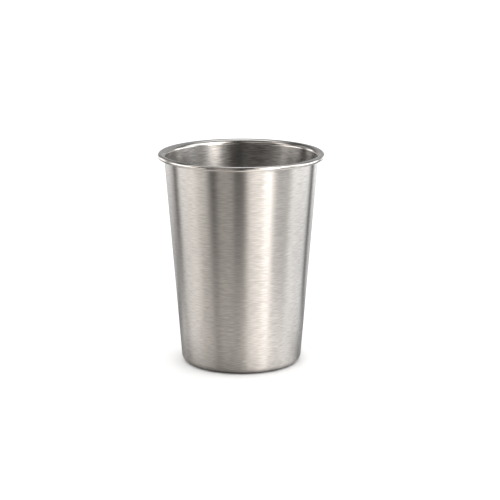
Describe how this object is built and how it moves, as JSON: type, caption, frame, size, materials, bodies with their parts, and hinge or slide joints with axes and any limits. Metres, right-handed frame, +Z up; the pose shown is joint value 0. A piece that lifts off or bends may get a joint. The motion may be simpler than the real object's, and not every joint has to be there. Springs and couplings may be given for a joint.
{
  "type": "deep drawn metal cup",
  "caption": "Tapered drinking cup deep drawn from brushed stainless sheet, with a straight wall, an outward rolled rim, a rounded heel and a lifted base panel.",
  "frame": {"origin": "centre of the foot ring, on the plane that the cup stands on", "axes": "+Z up along the cup's axis, out of the mouth; X and Y are alike, because the cup is round"},
  "size_m": [0.089, 0.089, 0.114],
  "materials": {
    "brushed_steel": "satin, brushed round the axis, with a smoother rolled rim"
  },
  "bodies": {
    "root": {"cup": "brushed_steel"}
  },
  "joints": []
}
